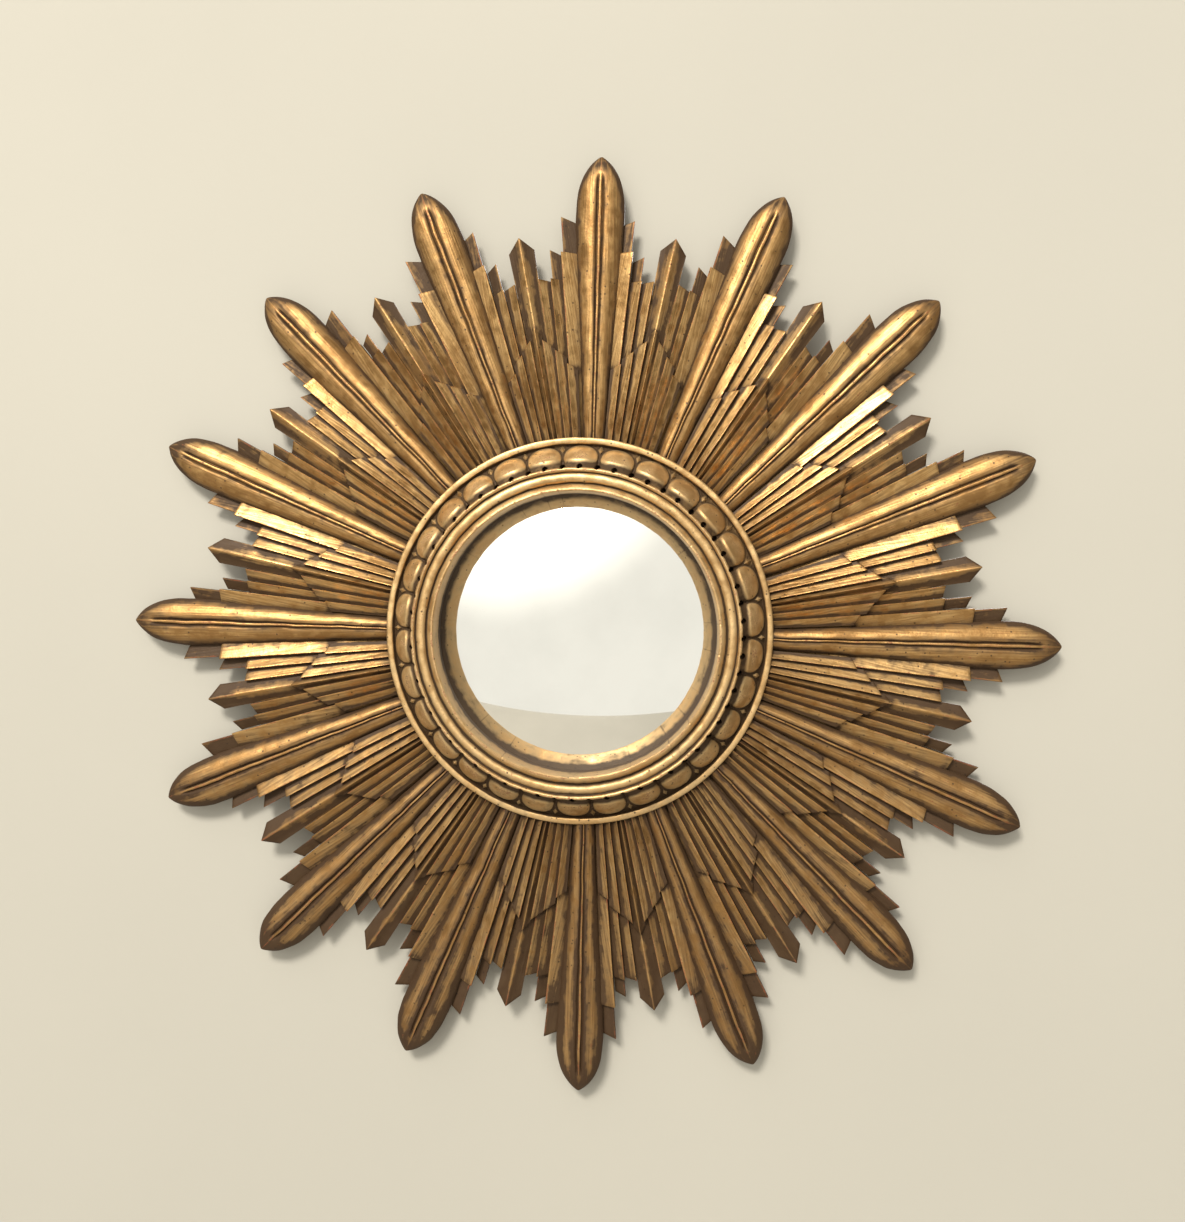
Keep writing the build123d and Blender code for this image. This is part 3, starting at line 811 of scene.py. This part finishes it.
def egg_band(rng, theta):
    """Radii, heights and patina of the carved band: eggs with darts between their outer ends, then a
    scooped edge with drilled notches, where the scoop also gets painted shade."""
    radius = np.linspace(*BAND_SPAN, BAND_ROWS)[None, :]
    off, number = from_nearest(theta, EGG_COUNT)
    swell = rng.uniform(-EGG_CHANGE, EGG_CHANGE, EGG_COUNT)[number]
    slide = rng.uniform(-EGG_SHIFT, EGG_SHIFT, EGG_COUNT)[number]
    lean = rng.uniform(-EGG_SHIFT, EGG_SHIFT, EGG_COUNT)[number]
    pitch = pi / EGG_COUNT * radius
    across = off * radius + lean * 0.5

    # An egg's outline is 1 on its edge, and outside counts from there in about millimetres
    beyond = np.maximum(0, radius - EGG_SHOULDER - slide) / (EGG_END - EGG_SHOULDER)
    aside = np.abs(across) / (pitch - EGG_GAP)
    outline = (aside**OUTLINE_POWER + beyond**OUTLINE_POWER) ** (1 / OUTLINE_POWER)
    outside = (outline - 1) * OUTLINE_REACH

    ground = BAND_OUTER[1] + (BAND_OUTER[0] - radius) * BAND_SLOPE
    dome = (EGG_RISE + swell) * np.maximum(0, 1 - outline ** DOME_POWERS[0]) ** DOME_POWERS[1]
    groove = -GROOVE_DEPTH * smoothstep(0, 0.5, outside)
    to_dart = np.abs(pitch - np.abs(across)) / DART_HALF[0] + np.abs(radius - DART_CIRCLE) / DART_HALF[1]
    dart = DART_HEIGHT * np.maximum(0, 1 - to_dart)
    rough_floor = 0.25 * ripple(rng, across * 9, radius * 9, 5) * smoothstep(0.4, 1, outside)
    height = ground + dome + np.where(outside > 0, groove + dart + rough_floor, 0)
    fillet_join = smoothstep(122.0, 123.0, radius)
    height = height * (1 - fillet_join) + BAND_OUTER[1] * fillet_join
    scoop = smoothstep(*SCOOP_SPAN, radius)
    away = from_nearest(theta, NOTCH_COUNT)[0] * radius
    to_notch = np.hypot(away, radius - NOTCH_CIRCLE - 0.3)
    drilled = smoothstep(NOTCH_RADIUS + 0.25, NOTCH_RADIUS - 0.25, to_notch)
    height -= SCOOP_DEPTH * scoop + NOTCH_DEPTH * drilled
    height += 0.1 * ripple(rng, theta * 115, radius)

    # The scoop under the ridges is glazed dark and also painted with the ridges' shade
    dirt_and_shade = 0.6 * scoop + drilled + 0.95 * smoothstep(-0.4, 0.3, outside) - 0.8 * (dart > 0.9)
    shine = np.where(outside < 0, 0.75 * clamp(1.2 - outline**2), 0.5 * (dart > 1.2)) * (1 - scoop)
    tone = np.stack(np.broadcast_arrays(dirt_and_shade, shine, 0.3 * scoop), -1)
    return np.broadcast_to(radius, height.shape), height, tone


def make_egg_ring():
    """The egg-and-dart moulding: an outer wall, a fillet, the carved band, and a plain back."""
    rng = np.random.default_rng(5)
    theta = np.arange(EGG_COUNT * EGG_STEPS)[:, None] * 2 * pi / (EGG_COUNT * EGG_STEPS)
    band = egg_band(rng, theta)
    fillet = turned(EGG_RING_FILLET, theta, 0.12 * ripple(rng, theta * 127, 0 * theta))
    parts = (turned(EGG_RING_WALL, theta), fillet, band, turned(EGG_RING_BACK, theta))
    radii, heights, patina_and_painted_light = (np.concatenate(values, axis=1) for values in zip(*parts))
    carving = Carving()
    carving.revolve(ring_points(theta, radii, heights), patina_and_painted_light)
    carving.piece("carved_egg_ring", 0, RING_GOLD, "egg_ring_moulding", 61)


SIGHT_PROFILE = (
    # radius, depth under the ridges' top, hollow, rubbed_and_sheen
    (106.9, 20, 1, 0), (106.9, 12, 1, 0), (106.85, 8, 1, 0), (106.8, 5, 0.9, 0), (106.75, 3, 0.7, 0),
    (106.65, 1.9, 0.35, 0.2), (106.35, 1.1, 0.05, 0.5), (105.9, 0.65, 0, 0.7), (105.3, 0.5, 0, 0.9),
    (104.7, 0.7, 0, 0.7), (104.25, 1.2, 0.1, 0.4), (103.95, 2.0, 0.6, 0.1), (103.7, 2.9, 1, 0),
    (103.4, 3.1, 1, 0), (103.1, 2.8, 0.7, 0), (102.6, 2.3, 0.35, 0.1), (101.9, 1.9, 0.15, 0.2),
    (101.0, 1.6, 0.05, 0.4), (100.1, 1.5, 0, 0.6), (99.2, 1.6, 0, 0.6), (98.3, 2.0, 0.1, 0.3),
    (97.6, 2.7, 0.3, 0.1), (97.1, 3.5, 0.7, 0), (96.8, 4.2, 1, 0), (96.5, 4.3, 1, 0), (96.2, 3.7, 0.6, 0),
    (95.8, 2.7, 0.3, 0.1), (95.2, 1.8, 0.15, 0.2), (94.4, 1.0, 0.1, 0.3), (93.6, 0.4, 0.05, 0.5),
    (92.9, 0.05, 0, 0.9), (92.3, 0.1, 0, 0.9), (91.9, 0.6, 0.1, 0.5), (91.6, 1.5, 0.1, 0.2),
    (91.4, 2.8, 0.05, 0), (91.2, 5, 0.05, 0), (91.0, 8, 0.1, 0), (90.8, 12, 0.2, 0), (90.6, 16, 0.8, 0),
    (90.5, 18.8, 1, 0), (90.5, 19.5, 1, 0), (94, 19.5, 1, 0), (96, 19.5, 1, 0), (102, 19.5, 1, 0),
)


def make_sight_ring():
    """Three turned ridges, with notches cut into the outer one and nicks in the inner one."""
    rng = np.random.default_rng(6)
    theta = np.arange(SIGHT_STEPS)[:, None] * 2 * pi / SIGHT_STEPS
    radius, under, hollow, rubbed_and_sheen = np.array(SIGHT_PROFILE, float).T
    ones = np.ones_like(theta)
    outer_face = (radius > 105.6) & (under < 13)
    inner_ridge = radius < 94
    exposed = ones * ((under < 10) & (radius > 91.5))

    radii = ones * radius
    opening = notch(theta)
    cut = np.minimum(radii[:, outer_face], NOTCH_CIRCLE - 0.35 - opening)
    radii[:, outer_face] = np.where(opening > 0.05, cut, radii[:, outer_face])
    radii += SIGHT_UNEVEN * exposed * ripple(rng, theta * 100, radii * 0.4)
    nicks = smoothstep(0.72, 0.95, ripple(rng, theta * 260, 0 * theta, 9)) * inner_ridge
    heights = RIDGE_TOP - under + SIGHT_UNEVEN * exposed * ripple(rng, theta * 100, radii)
    heights -= NICK_DEPTH * nicks * rubbed_and_sheen

    cut_depth = clamp(opening / NOTCH_RADIUS) * outer_face
    patina_and_painted_light = np.stack((
        ones * hollow + 0.8 * cut_depth * (under > 1) + 0.3 * nicks,
        ones * rubbed_and_sheen,
        0.25 * ones * (under > 3) * (radius > 92),
    ), -1)
    carving = Carving()
    carving.revolve(ring_points(theta, radii, heights), patina_and_painted_light)
    carving.piece("carved_sight_ring", 0, RING_GOLD, "reeded_sight_ring", 62)


def make_glass():
    """A smooth silvered dome of even thickness."""
    rim_back = -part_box("convex_mirror")[1].y / MM
    theta = np.arange(GLASS_STEPS)[:, None] * 2 * pi / GLASS_STEPS
    out = GLASS_RADIUS * np.sin(np.linspace(0, pi / 2, GLASS_ROWS))
    centre = GLASS_APEX - DOME_RADIUS
    front = centre + np.sqrt(DOME_RADIUS**2 - out**2)
    back = centre + np.sqrt((DOME_RADIUS - GLASS_THICKNESS) ** 2 - out**2)
    radius = np.concatenate((out, out[::-1]))
    height = np.concatenate((front, np.maximum(back[::-1], rim_back)))
    points = ring_points(theta, radius, height)
    carving = Carving()
    carving.revolve(points, np.zeros_like(points))
    carving.piece("silvered_dome", 0, mirror_silver(), "convex_mirror", 63, merge=True)


for number in range(1, RAY_COUNT + 1):
    make_lance(number)
    make_outer_fan(number)
    make_inner_fan(number)
make_egg_ring()
make_sight_ring()
make_glass()

# The plain CAD pieces at the back keep their shapes and get finished materials

BRASS = metal("aged_brass", clean=(0.62, 0.42, 0.16), tarnish=(0.2, 0.12, 0.05), rough=0.32)
FINISHES = {
    "backing_board": wood(
        "stained_plywood", light=(0.30, 0.17, 0.075), dark=(0.13, 0.066, 0.028), scale=110.0, rough=0.5),
    "mirror_packing_ring": wood(
        "packing_wood", light=(0.52, 0.35, 0.19), dark=(0.34, 0.21, 0.1), scale=150.0, rough=0.6),
    "back_cover": pressed_board(),
    "hanger_plate": metal("plated_steel", clean=(0.55, 0.52, 0.46), tarnish=(0.3, 0.26, 0.2), rough=0.35),
    "ring_screws": metal("steel_screw", clean=(0.5, 0.49, 0.47), tarnish=(0.22, 0.18, 0.14), rough=0.4),
    "cover_screws": BRASS,
    "hanger_screws": BRASS,
}
for node, finish in FINISHES.items():
    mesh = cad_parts[node].data
    mesh.materials.clear()
    mesh.materials.append(finish)

# Stage: a pale wall that is seen only from its front, open behind the board, and a pale floor

WALL_GAP = 0.0006
WALL_HALF = 3.0
WALL_OPENING = (BOARD_RADIUS - 2) * MM
WALL_STEPS = 128
WALL_COLOUR = (0.452, 0.436, 0.388)
FLOOR_LEVEL = -1.35
FLOOR_REACH = 2.6
FLOOR_COLOUR = (0.45, 0.43, 0.385)


def plaster(name, colour, one_sided):
    """Matt paint, a little cloudy and pitted. One-sided paint can't be seen from behind."""
    r = Recipe(name)
    cloud = r.noise(scale=1.6, detail=4.0)
    pits = r.noise(scale=260.0, detail=4.0)
    shade = tuple(channel * 0.95 for channel in colour)
    r.bump(pits, strength=0.08, distance=0.0004)
    material = r.finish(base_color=r.mix(r.ramp(cloud, 0.35, 0.65), colour, shade), roughness=0.85)
    if one_sided:
        clear = r.add("ShaderNodeBsdfTransparent")
        choose = r.add("ShaderNodeMixShader")
        r.put(r.add("ShaderNodeNewGeometry").outputs["Backfacing"], choose.inputs[0])
        r.put(r.shader.outputs[0], choose.inputs[1])
        r.put(clear.outputs[0], choose.inputs[2])
        r.put(choose.outputs[0], r.tree.nodes["Material Output"].inputs["Surface"])
    return material


def staged(name, points, faces, look):
    mesh = bpy.data.meshes.new(name)
    mesh.from_pydata(points, [], faces)
    mesh.materials.append(look)
    made = bpy.data.objects.new(name, mesh)
    bpy.context.scene.collection.objects.link(made)
    return made


def make_wall():
    """A square sheet with a round opening, facing -Y."""
    points, faces = [], []
    for index in range(WALL_STEPS):
        turn = 2 * pi * index / WALL_STEPS
        reach = WALL_HALF / max(abs(sin(turn)), abs(cos(turn)))
        for radius in (WALL_OPENING, reach):
            points.append((radius * sin(turn), WALL_GAP, radius * cos(turn)))
        after = (index + 1) % WALL_STEPS
        faces.append((2 * index, 2 * index + 1, 2 * after + 1, 2 * after))
    sheet = staged("wall", points, faces, plaster("wall_paint", WALL_COLOUR, one_sided=True))
    if sheet.data.polygons[0].normal.y > 0:
        sheet.data.flip_normals()
    return sheet


def make_floor():
    """A level sheet under the wall that reaches a little way in front of it and behind it."""
    corners = ((-1, WALL_HALF), (-1, -FLOOR_REACH), (1, -FLOOR_REACH), (1, WALL_HALF))
    points = [(side * WALL_HALF, y, FLOOR_LEVEL) for side, y in corners]
    staged("floor", points, [(0, 1, 2, 3)], plaster("floor_paint", FLOOR_COLOUR, one_sided=False))


wall = make_wall()
make_floor()

# Light: a warm key from above on the left, and a lamp behind that the wall doesn't block

WARM = (1.0, 0.94, 0.84)
WHITE = (1.0, 1.0, 1.0)
WORLD_COLOUR = (1, 0.965, 0.87, 1)
WORLD_LEVEL = 0.12


def area_light(name, place, size, power, colour):
    """A rectangular lamp aimed at the star's centre. Place and size are in metres, power in watts."""
    light = bpy.data.lights.new(name, "AREA")
    light.shape = "RECTANGLE"
    light.size, light.size_y = size
    light.energy = power
    light.color = colour
    made = bpy.data.objects.new(name, light)
    made.location = place
    made.rotation_euler = (-Vector(place)).to_track_quat("-Z", "Y").to_euler()
    bpy.context.scene.collection.objects.link(made)
    return made


area_light("key", place=(-1.2, -4.0, 3.1), size=(1.3, 1.0), power=290, colour=WARM)
back = area_light("back", place=(0.8, 1.9, 1.2), size=(1.2, 1.2), power=45, colour=WHITE)
unblocking = bpy.data.collections.new("not_in_the_back_light")
unblocking.objects.link(wall)
back.light_linking.blocker_collection = unblocking
for member in unblocking.collection_objects:
    member.light_linking.link_state = "EXCLUDE"

world = bpy.data.worlds.new("studio")
bpy.context.scene.world = world
world.use_nodes = True
nodes, links = world.node_tree.nodes, world.node_tree.links
direction = nodes.new("ShaderNodeTexCoord").outputs["Generated"]


def glow(axis, start, stop, level):
    """Light from around a direction, by the cosine of the angle to it: nothing under start, and the full
    level from stop up."""
    facing = nodes.new("ShaderNodeVectorMath")
    facing.operation = "DOT_PRODUCT"
    links.new(direction, facing.inputs[0])
    facing.inputs[1].default_value = Vector(axis).normalized()
    shaped = nodes.new("ShaderNodeMapRange")
    shaped.interpolation_type = "SMOOTHSTEP"
    links.new(facing.outputs["Value"], shaped.inputs["Value"])
    for name, value in (("From Min", start), ("From Max", stop), ("To Min", 0.0), ("To Max", level)):
        shaped.inputs[name].default_value = value
    return shaped.outputs["Result"]


room = glow(axis=(0, -1, 0), start=0.5, stop=0.8, level=0.82)
sky = glow(axis=(-0.35, -0.62, 0.7), start=0.66, stop=1.0, level=1.3)
both, total = nodes.new("ShaderNodeMath"), nodes.new("ShaderNodeMath")
links.new(room, both.inputs[0])
links.new(sky, both.inputs[1])
links.new(both.outputs[0], total.inputs[0])
total.inputs[1].default_value = WORLD_LEVEL
links.new(total.outputs[0], nodes["Background"].inputs["Strength"])
nodes["Background"].inputs["Color"].default_value = WORLD_COLOUR

# Camera: where it stands in metres, and how many degrees it is turned from looking straight at the wall

CAMERA_PLACE = (0.0597, -0.8511, 0.0610)
CAMERA_TILT, CAMERA_PAN, CAMERA_ROLL = 3.12, -3.93, -1.29
CAMERA_LENS = 37.41

camera = bpy.data.objects.new("camera", bpy.data.cameras.new("camera"))
camera.data.lens = CAMERA_LENS
camera.data.sensor_width = 36
turned = (Matrix.Rotation(radians(CAMERA_ROLL), 3, "Z")
          @ Matrix.Rotation(radians(CAMERA_TILT), 3, "X")
          @ Matrix.Rotation(radians(CAMERA_PAN), 3, "Y"))
upright = Matrix.Rotation(radians(90), 3, "X") @ turned.transposed()
camera.rotation_euler = upright.to_euler()
camera.location = CAMERA_PLACE
bpy.context.scene.collection.objects.link(camera)
bpy.context.scene.camera = camera
bpy.context.scene.view_settings.view_transform = "Standard"
